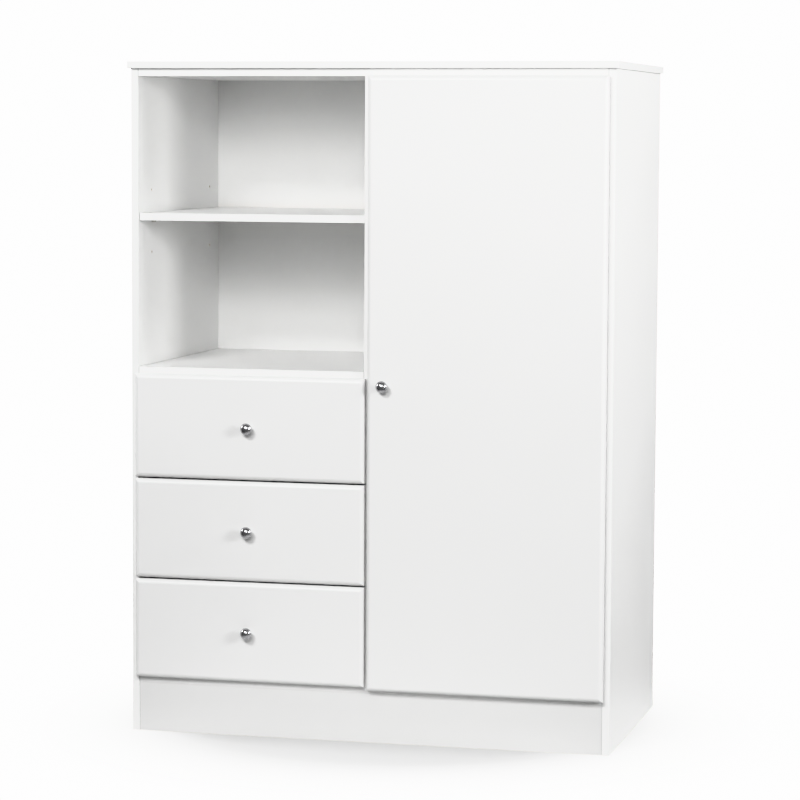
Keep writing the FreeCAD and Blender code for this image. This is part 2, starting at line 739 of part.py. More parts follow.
# Concealed hinges, fixed half: a mounting plate screwed to the right side panel and a gooseneck arm
# whose channel sits on the plate's ridge. The neck curls round the path of the door's back corner
# and ends in a rolled knuckle on the hinge pin, deep in the cup.
def hinge_plate(label, height):
    piece = new_body(label, "side_inner", "front_plane + plate_setback", height)
    wing_height = "plate_screw_spacing + 2 * plate_wing_margin"
    for low_y, low_z, length, tall, thick in (
            ("-plate_wing_width / 2", f"-({wing_height}) / 2", "plate_wing_width", wing_height,
             "plate_thickness"),
            ("plate_seat_start", "-plate_seat_width / 2", "plate_seat_length", "plate_seat_width",
             "plate_thickness"),
            ("plate_seat_start", "-plate_ridge_width / 2", "plate_seat_length", "plate_ridge_width",
             "plate_ridge_height")):
        drawing = new_sketch(piece, "YZ_Plane")
        draw_box(drawing, low_y, low_z, length, tall)
        extrude(piece, "Pad", drawing, thick, True)
    screw_holes = [("0", f"({sign}) * plate_screw_spacing / 2") for sign in (-1, 1)]
    pocket_holes(piece, "YZ_Plane", "0", screw_holes, "hinge_screw_diameter + hole_fit", "plate_thickness")
    return piece


def hinge_arm(label, height):
    piece = new_body(label, "door_right - hinge_pin_edge", "front_back - hinge_pin_depth", height)
    half_width = "-arm_width / 2"
    knuckle = new_sketch(piece, "XY_Plane", half_width)
    draw_circles(knuckle, [("0", "0")], "arm_knuckle_diameter")
    extrude(piece, "Pad", knuckle, "arm_width")
    outer = "-arm_neck_reach - arm_thickness / 2"
    inner = "-arm_neck_reach + arm_thickness / 2"
    low = "-arm_knuckle_diameter / 2"
    strip = new_sketch(piece, "XY_Plane", half_width)
    draw_outline(strip, [
        ("0", low), ("0", f"{low} + arm_thickness"),
        (inner, f"{low} + arm_thickness", "arm_neck_radius - arm_thickness"),
        (inner, "arm_neck_length - sway_shift", "arm_sway_radius"),
        ("-arm_top + arm_thickness", "channel_start - sway_shift", "arm_sway_radius"),
        ("-arm_top + arm_thickness", "arm_length"), ("-arm_top", "arm_length"),
        ("-arm_top", "channel_start", "arm_sway_radius"), (outer, "arm_neck_length", "arm_sway_radius"),
        (outer, low, "arm_neck_radius")])
    extrude(piece, "Pad", strip, "arm_width")
    channel_height = "arm_rise - plate_thickness"
    pad_box(piece, "XY_Plane", "-arm_channel_width / 2", "-arm_top", "channel_start", channel_height,
            "plate_seat_length", "arm_channel_width")
    pocket_box(piece, "XY_Plane", "arm_channel_width / 2 - arm_thickness", "-arm_top + arm_thickness",
               "channel_start - arm_sway", channel_height, "arm_length",
               "arm_channel_width - 2 * arm_thickness")
    pocket_holes(piece, "XY_Plane", "arm_width / 2", [("0", "0")], "hinge_pin_diameter + hinge_pin_fit",
                 "arm_width")
    return piece


keep_group("hinge_plates", at_hinges("hinge_plate", hinge_plate))
keep_group("hinge_arms", at_hinges("hinge_arm", hinge_arm))
keep_group("hinge_plate_screws", [
    screw(f"hinge_plate_screw_{index}_{row}",
          ("side_inner - plate_thickness", "front_plane + plate_setback",
           f"{height} + ({sign}) * plate_screw_spacing / 2"),
          "plate_thickness + hinge_screw_bite", "hinge_screw_diameter", "hinge_screw_head",
          "hinge_screw_dome", True)
    for index, height in enumerate(hinge_heights) for row, sign in enumerate((-1, 1))])


# Knobs: turned mushroom heads with a low dome on a waisted neck, each drawn up by a screw from behind.
def knob(label, x, z):
    piece = new_body(label, x, "front_face", z)
    rim = "-(knob_projection - knob_head_height)"
    neck = "knob_neck_diameter / 2"
    foot = "knob_base_diameter / 2"
    revolve(piece, [("0", "0"), (foot, "0"), (foot, "-knob_base_height"),
                    (neck, f"-knob_base_height - {foot} + {neck}", "knob_neck_radius"),
                    (neck, f"{rim} + knob_base_height", "knob_neck_radius"),
                    ("knob_diameter / 2", rim, "knob_rim_radius"),
                    ("knob_diameter / 2", f"{rim} - knob_edge_height", "knob_edge_radius"),
                    ("knob_crown_reach", "-knob_projection", "knob_dome_radius"),
                    ("0", "-knob_projection")], "y")
    pocket_holes(piece, "XZ_Plane", "0", [("0", "0")], "knob_screw_diameter + hole_fit",
                 "knob_screw_bite + hole_bottom_gap", True)
    return keep(piece)


def knob_screw(label, x, z):
    piece = new_body(label, x, "front_back", z)
    shank = new_sketch(piece, "XZ_Plane")
    draw_circles(shank, [("0", "0")], "knob_screw_diameter")
    extrude(piece, "Pad", shank, "front_thickness + knob_screw_bite")
    head = new_sketch(piece, "XZ_Plane")
    draw_circles(head, [("0", "0")], "screw_head_diameter")
    extrude(piece, "Pad", head, "screw_head_height", True)
    return keep(piece)


def front_board(label, low_x, low_z, height, knob_x, knob_z):
    """A drawer front or door with a soft front edge, bored for its knob screw."""
    piece = board(label, (low_x, "front_face", low_z), ("front_width", "front_thickness", height))
    round_edges(piece, "front_edge_radius", "0")
    round_edges(piece, "front_back_radius", "front_thickness")
    pocket_holes(piece, "XZ_Plane", "0", [(knob_x, knob_z)], "knob_screw_diameter + hole_fit",
                 "front_thickness")
    return keep(piece)


# Door with its knob, and the moving half of the hinges let into its back.
door_knob_height = "door_height / 2"
door = front_board("door_panel", "door_left", "door_base", "door_height", "door_knob_inset",
                   door_knob_height)
cup_bores = [("front_width - cup_axis", f"{height} - door_base") for height in hinge_heights]
pocket_holes(door, "XZ_Plane", "-front_thickness", cup_bores, "cup_diameter + cam_fit",
             "cup_depth + hole_fit", True)
cup_screw_places = [("front_width - cup_axis - cup_screw_offset",
                     f"{height} - door_base + ({sign}) * cup_screw_spacing / 2")
                    for height in hinge_heights for sign in (-1, 1)]
pocket_holes(door, "XZ_Plane", "-front_thickness", cup_screw_places, "hinge_screw_diameter + hole_fit",
             "hinge_screw_bite + hole_bottom_gap", True)
knob("door_knob", "door_left + door_knob_inset", f"door_base + {door_knob_height}")
knob_screw("door_knob_screw", "door_left + door_knob_inset", f"door_base + {door_knob_height}")


lug_start = "arm_width / 2 + lug_gap"


def hinge_cup(label, height):
    """A pressed cup with a rim, two screw wings and two lugs that carry the pin."""
    piece = new_body(label, "door_right - cup_axis", "front_back", height)
    wing = new_sketch(piece, "XZ_Plane")
    wing_height = "(cup_screw_spacing + 2 * cup_wing_margin)"
    draw_box(wing, "-cup_screw_offset - cup_wing_width / 2", f"-{wing_height} / 2", "cup_wing_width",
             wing_height)
    extrude(piece, "Pad", wing, "cup_flange", True)
    rim = new_sketch(piece, "XZ_Plane")
    draw_circles(rim, [("0", "0")], "cup_diameter + 2 * cup_rim")
    extrude(piece, "Pad", rim, "cup_flange", True)
    wall = new_sketch(piece, "XZ_Plane")
    draw_circles(wall, [("0", "0")], "cup_diameter")
    extrude(piece, "Pad", wall, "cup_depth")
    pocket_holes(piece, "XZ_Plane", "-cup_flange", [("0", "0")], "2 * cup_inner",
                 "cup_flange + cup_depth - cup_floor", True)
    lug_reach = "(hinge_pin_diameter / 2 + lug_margin)"
    lug_base = "(cup_depth - cup_floor / 2)"
    for low_z in (lug_start, f"-({lug_start}) - lug_thickness"):
        pad_box(piece, "XY_Plane", low_z, f"cup_to_pin - {lug_reach}", f"-{lug_base}", f"2 * {lug_reach}",
                f"{lug_base} - hinge_pin_depth + {lug_reach}", "lug_thickness")
    pocket_holes(piece, "XY_Plane", f"{lug_start} + lug_thickness", [("cup_to_pin", "-hinge_pin_depth")],
                 "hinge_pin_diameter", f"2 * ({lug_start} + lug_thickness)")
    screw_holes = [("-cup_screw_offset", f"({sign}) * cup_screw_spacing / 2") for sign in (-1, 1)]
    pocket_holes(piece, "XZ_Plane", "0", screw_holes, "hinge_screw_diameter + hole_fit", "cup_flange")
    return piece


def hinge_pin(label, height):
    """A pin through the knuckle, its ends in the cup's lugs."""
    piece = new_body(label, "door_right - hinge_pin_edge", "front_back - hinge_pin_depth", height)
    half = f"({lug_start} + lug_thickness)"
    drawing = new_sketch(piece, "XY_Plane", f"-{half}")
    draw_circles(drawing, [("0", "0")], "hinge_pin_diameter")
    extrude(piece, "Pad", drawing, f"2 * {half}")
    return piece


def cup_screw(label, height, sign):
    """A pan-head screw that holds a cup's wing to the door's back."""
    piece = new_body(label, "door_right - cup_axis - cup_screw_offset", "front_back + cup_flange",
                     f"{height} + ({sign}) * cup_screw_spacing / 2")
    shank = new_sketch(piece, "XZ_Plane")
    draw_circles(shank, [("0", "0")], "hinge_screw_diameter")
    extrude(piece, "Pad", shank, "cup_flange + hinge_screw_bite")
    head = new_sketch(piece, "XZ_Plane")
    draw_circles(head, [("0", "0")], "hinge_screw_head")
    extrude(piece, "Pad", head, "hinge_screw_dome", True)
    return piece


keep_group("hinge_cups", at_hinges("hinge_cup", hinge_cup))
keep_group("hinge_pins", at_hinges("hinge_pin", hinge_pin))
keep_group("hinge_cup_screws", [cup_screw(f"hinge_cup_screw_{index}_{row}", height, sign)
                                for index, height in enumerate(hinge_heights)
                                for row, sign in enumerate((-1, 1))])


# Drawers: a front, two grooved sides, a back and a thin bottom that lies in grooves.
box_screw_heights = ["back_board_base + box_screw_inset",
                     "back_board_base + back_board_height - box_screw_inset"]
box_screw_line = "drawer_side_length - drawer_back_thickness / 2"


def drawer_side(label, low_x, low_z, outer, inner, left):
    """A side with a runner groove outside and a bottom groove inside, bored for the back's screws."""
    piece = board(label, (low_x, "front_back", low_z),
                  ("drawer_side_thickness", "drawer_side_length", "drawer_side_height"))
    pocket_box(piece, "YZ_Plane", outer, "runner_groove_start",
               "runner_rise - runner_height / 2 - runner_fit", "drawer_side_length - runner_groove_start",
               "runner_height + 2 * runner_fit", "runner_groove_depth", left)
    pocket_box(piece, "YZ_Plane", inner, "0", "drawer_bottom_rise", "drawer_side_length", "groove_height",
               "groove_depth", not left)
    holes = [(box_screw_line, height) for height in box_screw_heights]
    pocket_holes(piece, "YZ_Plane", outer, holes, "box_screw_diameter + hole_fit",
                 "drawer_side_thickness", left)
    pocket_holes(piece, "YZ_Plane", outer, holes, "screw_head_diameter + hole_fit", "screw_recess", left)
    return keep(piece)


for index, name in enumerate(drawer_names):
    base = f"(drawer_front_base + {index} * drawer_pitch)"
    box_base = f"({base} + drawer_side_rise)"
    front_height = "drawer_front_height"
    if index == len(drawer_names) - 1:
        front_height = "(drawer_front_height + top_front_extra)"
    knob_x = "left_front_low + front_width / 2"
    knob_z = f"{base} + {front_height} / 2"
    front = front_board(f"{name}_front", "left_front_low", base, front_height, "front_width / 2",
                        f"{front_height} / 2")
    bottom_width = "(box_inner + 2 * tongue)"
    bottom_low = "(box_left + drawer_side_thickness - tongue)"
    pocket_box(front, "XZ_Plane", "-front_thickness", f"{bottom_low} - groove_fit - left_front_low",
               "drawer_side_rise + drawer_bottom_rise", f"{bottom_width} + 2 * groove_fit", "groove_height",
               "groove_depth", True)
    drawer_side(f"{name}_left_side", "box_left", box_base, "0", "drawer_side_thickness", True)
    drawer_side(f"{name}_right_side", "box_left + box_width - drawer_side_thickness", box_base,
                "drawer_side_thickness", "0", False)
    back = keep(board(f"{name}_back", ("box_left + drawer_side_thickness",
                                       "front_back + drawer_side_length - drawer_back_thickness",
                                       f"{box_base} + back_board_base"),
                      ("box_inner", "drawer_back_thickness", "back_board_height")))
    screw_depth = "box_screw_length - drawer_side_thickness + screw_recess + hole_bottom_gap"
    screw_holes = [("drawer_back_thickness / 2", f"{height} - back_board_base")
                   for height in box_screw_heights]
    pocket_holes(back, "YZ_Plane", "0", screw_holes, "box_screw_diameter + hole_fit", screw_depth, True)
    pocket_holes(back, "YZ_Plane", "box_inner", screw_holes, "box_screw_diameter + hole_fit", screw_depth)
    keep(board(f"{name}_bottom", (bottom_low, "front_back - tongue", f"{box_base} + drawer_bottom_rise"),
               (bottom_width, "drawer_side_length + tongue", "drawer_bottom_thickness")))
    keep_group(f"{name}_box_screws", [
        screw(f"{name}_box_screw_{side}_{row}",
              (seat, f"front_back + {box_screw_line}", f"{box_base} + {height}"),
              "box_screw_length", "box_screw_diameter", "screw_head_diameter", "screw_head_height", turned)
        for side, seat, turned in (("left", "box_left + screw_recess", True),
                                   ("right", "box_left + box_width - screw_recess", False))
        for row, height in enumerate(box_screw_heights)])
    knob(f"{name}_knob", knob_x, knob_z)
    knob_screw(f"{name}_knob_screw", knob_x, knob_z)

doc.recompute()

# Every object has to be sound, and every cut has to remove something, before anything is written.
for item in doc.Objects:
    if "Invalid" in item.State or "Error" in item.State:
        raise RuntimeError(f"{item.Label} did not build: {item.State}")
    if item.TypeId == "PartDesign::Pocket" and item.Shape.Volume > item.BaseFeature.Shape.Volume - LEAST_CUT:
        raise RuntimeError(f"{item.Label} cuts nothing")
for piece in nodes:
    if piece.Shape.isNull() or not piece.Shape.isValid():
        raise RuntimeError(f"{piece.Label} has no sound shape")

os.makedirs("parts", exist_ok=True)
for piece in nodes:
    piece.Shape.exportStep(f"parts/{piece.Label}.step")
print(len(nodes), "pieces,", sum(len(piece.Shape.Solids) for piece in nodes), "solids")
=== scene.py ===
import math

import bmesh
import bpy
import numpy as np
from mathutils import Matrix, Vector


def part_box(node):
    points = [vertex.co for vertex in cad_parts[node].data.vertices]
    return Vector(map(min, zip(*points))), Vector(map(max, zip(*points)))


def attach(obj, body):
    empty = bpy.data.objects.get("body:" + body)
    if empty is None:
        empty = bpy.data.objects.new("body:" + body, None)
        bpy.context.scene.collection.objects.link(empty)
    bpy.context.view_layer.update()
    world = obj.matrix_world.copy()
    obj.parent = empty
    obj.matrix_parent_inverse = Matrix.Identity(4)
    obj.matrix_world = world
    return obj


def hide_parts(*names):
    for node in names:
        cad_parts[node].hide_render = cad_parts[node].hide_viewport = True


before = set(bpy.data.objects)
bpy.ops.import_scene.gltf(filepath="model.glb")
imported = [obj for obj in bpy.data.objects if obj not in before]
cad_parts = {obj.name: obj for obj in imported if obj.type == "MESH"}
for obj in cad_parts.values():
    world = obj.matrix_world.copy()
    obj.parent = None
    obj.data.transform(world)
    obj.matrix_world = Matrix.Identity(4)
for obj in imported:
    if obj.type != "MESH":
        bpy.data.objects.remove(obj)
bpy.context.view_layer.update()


# Carcass boards: particle board faced with white laminate and edge-banded where it shows, raw where
# it stands on the floor or meets the back. Sawn to size, bored, and pulled together by cam fittings.
class Shade:
    """A socket of a material: its operators add Math nodes, and node() adds any other node."""

    def __init__(self, tree, socket=None):
        self.tree = tree
        self.socket = socket

    def node(self, kind, settings=None, inputs=None, output=0):
        made = self.tree.nodes.new("ShaderNode" + kind)
        for name, setting in (settings or {}).items():
            if name == "stops":
                ramp = made.color_ramp.elements
                while len(ramp) < len(setting):
                    ramp.new(1.0)
                for stop, (place, colour) in zip(ramp, setting):
                    stop.position = place
                    stop.color = (*colour, 1.0)
            else:
                setattr(made, name, setting)
        for name, given in (inputs or {}).items():
            if isinstance(given, Shade):
                self.tree.links.new(given.socket, made.inputs[name])
            else:
                made.inputs[name].default_value = given
        if output is None:
            return [Shade(self.tree, socket) for socket in made.outputs]
        return Shade(self.tree, made.outputs[output])

    def math(self, operation, *terms):
        return self.node("Math", {"operation": operation}, dict(enumerate(terms)))

    def __add__(self, other):
        return self.math("ADD", self, other)

    def __sub__(self, other):
        return self.math("SUBTRACT", self, other)

    def __rsub__(self, other):
        return self.math("SUBTRACT", other, self)

    def __mul__(self, other):
        return self.math("MULTIPLY", self, other)

    def __lt__(self, other):
        return self.math("LESS_THAN", self, other)

    def __gt__(self, other):
        return self.math("GREATER_THAN", self, other)

    def least(self, other):
        return self.math("MINIMUM", self, other)

    def most(self, other):
        return self.math("MAXIMUM", self, other)

    __radd__ = __add__
    __rmul__ = __mul__


def start_finish(name, **constants):
    """A new material with constant sockets set on its shader, and the Object coordinates to draw with."""
    material = bpy.data.materials.new(name)
    material.use_nodes = True
    tree = material.node_tree
    shader = tree.nodes["Principled BSDF"]
    for socket, number in constants.items():
        shader.inputs[socket.replace("_", " ")].default_value = number
    return material, shader, Shade(tree).node("TexCoord", output="Object")


def feed(shader, **drawn):
    """Link drawn values to the shader's sockets of those names."""
    for name, shade in drawn.items():
        shade.tree.links.new(shade.socket, shader.inputs[name.replace("_", " ")])


def grain(place, cells, detail=2.0):
    """Noise of 0 to 1, with a number of cells per metre."""
    return place.node("TexNoise", inputs={"Vector": place, "Scale": cells, "Detail": detail})


def bump(height, depth, strength):
    """A normal bent by a height of 0 to 1 over a depth in metres."""
    return height.node("Bump", inputs={"Height": height, "Distance": depth, "Strength": strength},
                       output="Normal")


def mix(factor, first, second):
    """The first colour where the factor is 0, the second where it is 1."""
    return factor.node("Mix", {"data_type": "RGBA"}, {0: factor, 6: first, 7: second}, output=2)


def dress(node, material):
    """Give a node of the frame its finish."""
    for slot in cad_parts[node].material_slots:
        slot.material = material


X, Y, Z = range(3)
WHITE = (0.90, 0.90, 0.895, 1.0)
WHITE_WORN = (0.88, 0.88, 0.872, 1.0)
# Painted shade: the front kick board's laminate is drawn as darker grey copies of the same white laminate,
# the second varying at random like the worn white.
KICK_PAINTED_SHADE = (0.64, 0.64, 0.637, 1.0)
KICK_PAINTED_SHADE_WORN = (0.62, 0.62, 0.615, 1.0)
BAND_WHITE = (0.79, 0.79, 0.785, 1.0)
BAND_THICKNESS = 0.0005
SEAM_GREY = (0.66, 0.66, 0.645, 1.0)
SEAM_WIDTH = 0.00022
SEAM_STRENGTH = 0.5
JOINT_SHADE = (0.08, 0.08, 0.076, 1.0)
CHIP_LIGHT = (0.62, 0.47, 0.30)
CHIP_DARK = (0.33, 0.22, 0.12)
CHIPS_PER_METRE = 420.0
CHIP_RELIEF = 3.0
CHIP_DULLNESS = 0.45
SATIN = 0.34
SATIN_WEAR = 0.12
SKIN = 0.00015
CUT_DEPTH = 0.0004


def laminate(name, low, high, raw_sides, tones_and_painted_shade=(WHITE, WHITE_WORN), square=True, joint=0.0):
    """White laminate with a fine pearl emboss, edge bands a shade greyer, and raw chips where it is bare.

    A band is where the least of the distances to the four narrow sides is under its thickness, and the
    seam is the fine line at that distance. A raw side is where a coordinate comes within a skin of it, and
    the walls of bores and grooves in a square board are raw where all six sides are a cut's depth away.
    A board that butts between two others shows a dark joint, as wide as told, at both ends along X.
    """
    material, shader, place = start_finish(name, Coat_Weight=0.0)
    coords = place.node("SeparateXYZ", inputs={0: place}, output=None)
    spans = [top - base for base, top in zip(low, high)]
    thin = spans.index(min(spans))
    inward = [(coords[axis] - low[axis]).least(high[axis] - coords[axis]) for axis in (X, Y, Z)]
    first, second = (inward[axis] for axis in (X, Y, Z) if axis != thin)
    margin = first.least(second)
    seam = (margin > BAND_THICKNESS - SEAM_WIDTH / 2) * (margin < BAND_THICKNESS + SEAM_WIDTH / 2)
    raw = [(coords[axis] > high[axis] - SKIN) if side > 0 else (coords[axis] < low[axis] + SKIN)
           for axis, side in raw_sides]
    if square:
        raw.append(margin.least(inward[thin]) > CUT_DEPTH)
    bare = raw[0]
    for cut in raw[1:]:
        bare = bare.most(cut)
    cloud = grain(place, cells=2.3)
    pearl = grain(place, cells=850.0, detail=3.0)
    touch = grain(place, cells=11.0)
    chips = place.node("TexVoronoi", inputs={"Vector": place, "Scale": CHIPS_PER_METRE}, output="Color")
    chip = chips.node("SeparateColor", inputs={0: chips})
    tan = chip.node("ValToRGB", {"stops": [(0.0, CHIP_DARK), (1.0, CHIP_LIGHT)]}, {0: chip})
    colour = mix(margin < BAND_THICKNESS, mix(cloud, *tones_and_painted_shade), BAND_WHITE)
    colour = mix(seam * SEAM_STRENGTH, colour, SEAM_GREY)
    colour = mix(bare, colour, tan)
    if joint:
        colour = mix(inward[X] < joint, colour, JOINT_SHADE)
    feed(shader, Base_Color=colour, Roughness=SATIN + SATIN_WEAR * touch + bare * CHIP_DULLNESS,
         Normal=bump(pearl * (1 - bare) + chip * bare * CHIP_RELIEF, depth=0.00003, strength=0.25))
    return material


BELOW = (Z, -1)
BEHIND = (Y, 1)
BOARD_JOINT = 0.0008
KICK_JOINT = 0.0005
for board, raw_sides, joint in (
        ("left_side_panel", [BELOW, BEHIND], 0.0), ("right_side_panel", [BELOW, BEHIND], 0.0),
        ("center_divider", [BEHIND], 0.0), ("bottom_panel", [BEHIND], BOARD_JOINT),
        ("sub_top", [BEHIND], BOARD_JOINT), ("fixed_shelf", [BEHIND], BOARD_JOINT),
        ("adjustable_shelf", [BEHIND], 0.0), ("top_board", [BEHIND], 0.0),
        ("front_kick_board", [BELOW], KICK_JOINT), ("rear_kick_board", [BELOW], KICK_JOINT),
        ("plinth_block", [BELOW], 0.0),
):
    # The front kick board, set back under the fronts, gets the painted-shade greys in place of the white
    # laminate.
    tones_and_painted_shade = (KICK_PAINTED_SHADE, KICK_PAINTED_SHADE_WORN) if board == "front_kick_board" else (WHITE, WHITE_WORN)
    dress(board, laminate("laminate_" + board, *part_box(board), raw_sides, tones_and_painted_shade,
                          square=board != "top_board", joint=joint))


# Back panel: 3 mm hardboard, white foil on the side that shows in the open bays and bare brown
# fibre on the side that faces the wall. Nailed over the rear edges of the carcass.
FIBRE_LIGHT = (0.40, 0.24, 0.13, 1.0)
FIBRE_DARK = (0.27, 0.15, 0.075, 1.0)
FIBRE_SHARE = 0.7
FIBRE_RELIEF = 2.0
FIBRE_DULLNESS = 0.4
SHEET_SATIN = 0.42
SHEET_RELIEF = 0.4
NAIL_STEEL = (0.45, 0.45, 0.46, 1.0)
NAIL_RADIUS = 0.0028
NAIL_DENT = 1.35 * NAIL_RADIUS
NAIL_POLISH = 0.45
NAIL_RELIEF = 1.5
UPRIGHT_NAIL_PITCH = 0.13
LEVEL_NAIL_PITCH = 0.12
PITCHES_AHEAD = 50.0


def nail_spots(coords, lines, radius):
    """1 on round nail heads: on each line, where the nearest whole pitch is nearer than a radius.

    The way along a line is counted from many pitches ahead, so that it is never less than nothing.
    """
    spots = None
    for across, level, along, pitch in lines:
        aside = coords[across] - level
        ahead = coords[along].math("PINGPONG", coords[along] + pitch * PITCHES_AHEAD, pitch / 2.0)
        spot = aside.math("SQRT", aside * aside + ahead * ahead) < radius
        spots = spot if spots is None else spots.most(spot)
    return spots


def hardboard(name, axis, middle, bare_above, nails=()):
    """White foil on one side of a thin sheet, brown pressed fibre on the other, parted half way through."""
    material, shader, place = start_finish(name)
    coords = place.node("SeparateXYZ", inputs={0: place}, output=None)
    bare = (coords[axis] > middle) if bare_above else (coords[axis] < middle)
    fibres = grain(place, cells=260.0, detail=6.0)
    cloud = grain(place, cells=2.0)
    pearl = grain(place, cells=700.0)
    brown = mix(fibres * FIBRE_SHARE + cloud * (1.0 - FIBRE_SHARE), FIBRE_LIGHT, FIBRE_DARK)
    colour = mix(bare, mix(cloud, WHITE, WHITE_WORN), brown)
    roughness = SHEET_SATIN + bare * FIBRE_DULLNESS
    relief = pearl * (1 - bare) * SHEET_RELIEF + fibres * bare * FIBRE_RELIEF
    if nails:
        heads, dents = (nail_spots(coords, nails, radius) for radius in (NAIL_RADIUS, NAIL_DENT))
        colour = mix(heads * bare, colour, NAIL_STEEL)
        roughness = roughness - heads * bare * NAIL_POLISH
        relief = relief * (1 - dents) + heads * NAIL_RELIEF
        feed(shader, Metallic=heads * bare)
    feed(shader, Base_Color=colour, Roughness=roughness, Normal=bump(relief, depth=0.00005, strength=0.3))
    return material


back_low, back_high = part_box("back_panel")
half_board = (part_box("center_divider")[1].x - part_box("center_divider")[0].x) / 2.0
side_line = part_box("right_side_panel")[0].x + half_board
nail_lines = [(X, x, Z, UPRIGHT_NAIL_PITCH) for x in (-side_line, 0.0, side_line)]
nail_lines += [(Z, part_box(board)[0].z + half_board, X, LEVEL_NAIL_PITCH)
               for board in ("bottom_panel", "sub_top")]
dress("back_panel", hardboard("hardboard_back", Y, (back_low.y + back_high.y) / 2, True, nail_lines))


# Cam bolts, cam discs, dowels and long screws: the fittings that hold the carcass together. Steel
# bolts run into die-cast discs, beech dowels hold the kick boards, all hidden once it is built.
DULLED = 0.82


def plated(name, tint, roughness, scratch=0.08, metallic=1.0):
    """Plated metal whose tint and roughness vary with drawn noise, finely scratched."""
    material, shader, place = start_finish(name, Metallic=metallic)
    cloud = grain(place, cells=60.0)
    fine = grain(place, cells=1800.0, detail=4.0)
    dull = tuple(part * DULLED for part in tint)
    feed(shader, Base_Color=mix(cloud, (*tint, 1.0), (*dull, 1.0)),
         Roughness=roughness + scratch * cloud, Normal=bump(fine, depth=0.00001, strength=0.15))
    return material


ZINC_PLATED = plated("zinc_plated", tint=(0.66, 0.67, 0.68), roughness=0.28)
DIE_CAST = plated("die_cast_zinc", tint=(0.55, 0.55, 0.54), roughness=0.45)
LONG_GAP = 0.1
SHORT_GAP = 0.012
MERGE_DISTANCE = 1e-7
LEAST_EDGE = 1e-8
SHARP_ANGLE = math.radians(40.0)
SCREW_SIDES = 48
DOME_RINGS = 12
# Dome and recess are shares of a screw head's height, the cross's arms of its radius, and the point is in
# shank radii.
DOME_FALL = 0.75
RECESS_DEPTH = 0.6
ARM_HALF_WIDTH = 0.14
ARM_REACH = 0.62
ARM_END_SLOPE = 2.5
POINT_LENGTH = 1.5


def solid_points(node, axis):
    """Points of each solid of a node, parted where they leave wide gaps, wider along the solids' axis."""
    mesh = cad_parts[node].data
    points = np.empty(3 * len(mesh.vertices))
    mesh.vertices.foreach_get("co", points)
    groups = [points.reshape(-1, 3)]
    for direction in (X, Y, Z):
        gap = LONG_GAP if direction == axis else SHORT_GAP
        parted = []
        for group in groups:
            ordered = group[np.argsort(group[:, direction])]
            parted += np.split(ordered, np.flatnonzero(np.diff(ordered[:, direction]) > gap) + 1)
        groups = parted
    return groups


def grid_piece(name, grids, material):
    """A mesh of quads over grids of points, with coincident points merged and faces turned outward."""
    points = []
    quads = []
    for grid in grids:
        rows, columns = grid.shape[:2]
        index = len(points) + np.arange(rows * columns).reshape(rows, columns)
        corners = [index[:-1, :-1], index[1:, :-1], index[1:, 1:], index[:-1, 1:]]
        quads += np.stack(corners, axis=-1).reshape(-1, 4).tolist()
        points += grid.reshape(-1, 3).tolist()
    mesh = bpy.data.meshes.new(name)
    mesh.from_pydata(points, [], quads)
    shell = bmesh.new()
    shell.from_mesh(mesh)
    bmesh.ops.remove_doubles(shell, verts=shell.verts, dist=MERGE_DISTANCE)
    bmesh.ops.dissolve_degenerate(shell, edges=shell.edges, dist=LEAST_EDGE)
    bmesh.ops.recalc_face_normals(shell, faces=shell.faces)
    for face in shell.faces:
        face.smooth = True
    shell.to_mesh(mesh)
    shell.free()
    mesh.set_sharp_from_angle(angle=SHARP_ANGLE)
    mesh.materials.append(material)
    piece = bpy.data.objects.new(name, mesh)
    bpy.context.scene.collection.objects.link(piece)
    return piece


def lathe(heights, radii, sides, origin, toward):
    """Rings round an axis: height along it, plus radius times the cosine and sine of equal turns."""
    toward = np.array(toward, float)
    across = np.roll(np.abs(toward), 1)
    turn = np.linspace(0.0, 2.0 * np.pi, sides + 1)
    ring = np.outer(np.cos(turn), across) + np.outer(np.sin(turn), np.cross(toward, across))
    rows = np.reshape(heights, (len(radii), -1)) + np.zeros(sides + 1)
    return np.asarray(origin) + np.multiply.outer(rows, toward) + np.reshape(radii, (-1, 1, 1)) * ring


def cross_head_screw(tip, toward, length, shank, radius, head):
    """A screw with a cross-shaped driver recess: a lathe surface from its point over its shank and head.

    The head's dome falls with the square of the radius. Where either arm of the cross covers it, it sinks
    by the recess's depth, less and less towards the end of the arm.
    """
    neck = length - head
    dome = np.linspace(1.0, 0.0, DOME_RINGS)
    radii = np.concatenate([[0.0, shank, shank, radius], radius * dome])
    heights = np.concatenate([[0.0, POINT_LENGTH * shank, neck, neck],
                              neck + head * (1.0 - DOME_FALL * dome ** 2)])
    turn = np.linspace(0.0, 2.0 * np.pi, SCREW_SIDES + 1)
    first = np.abs(np.outer(radii, np.cos(turn))) / radius
    second = np.abs(np.outer(radii, np.sin(turn))) / radius
    arm = np.minimum(first, second) < ARM_HALF_WIDTH
    sink = np.clip(ARM_END_SLOPE * (1.0 - np.maximum(first, second) / ARM_REACH), 0.0, 1.0)
    sink[:-DOME_RINGS] = 0.0
    return lathe(heights[:, None] - arm * sink * head * RECESS_DEPTH, radii, SCREW_SIDES, tip, toward)


def recut_screws(node, axis, shank, head, body):
    """Cross-head screws in the place of a node's plain ones, each facing the way of its wider end."""
    grids = []
    for points in solid_points(node, axis):
        middle = (points.min(axis=0) + points.max(axis=0)) / 2.0
        spread = np.linalg.norm(np.delete(points - middle, axis, axis=1), axis=1)
        widest = np.argmax(spread)
        toward = np.zeros(3)
        toward[axis] = np.sign(points[widest, axis] - middle[axis])
        length = np.ptp(points[:, axis])
        grids.append(cross_head_screw(middle - toward * length / 2.0, toward, length, shank,
                                      spread[widest], head))
    piece = grid_piece(node + "_crossed", grids, ZINC_PLATED)
    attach(piece, body)
    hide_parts(node)


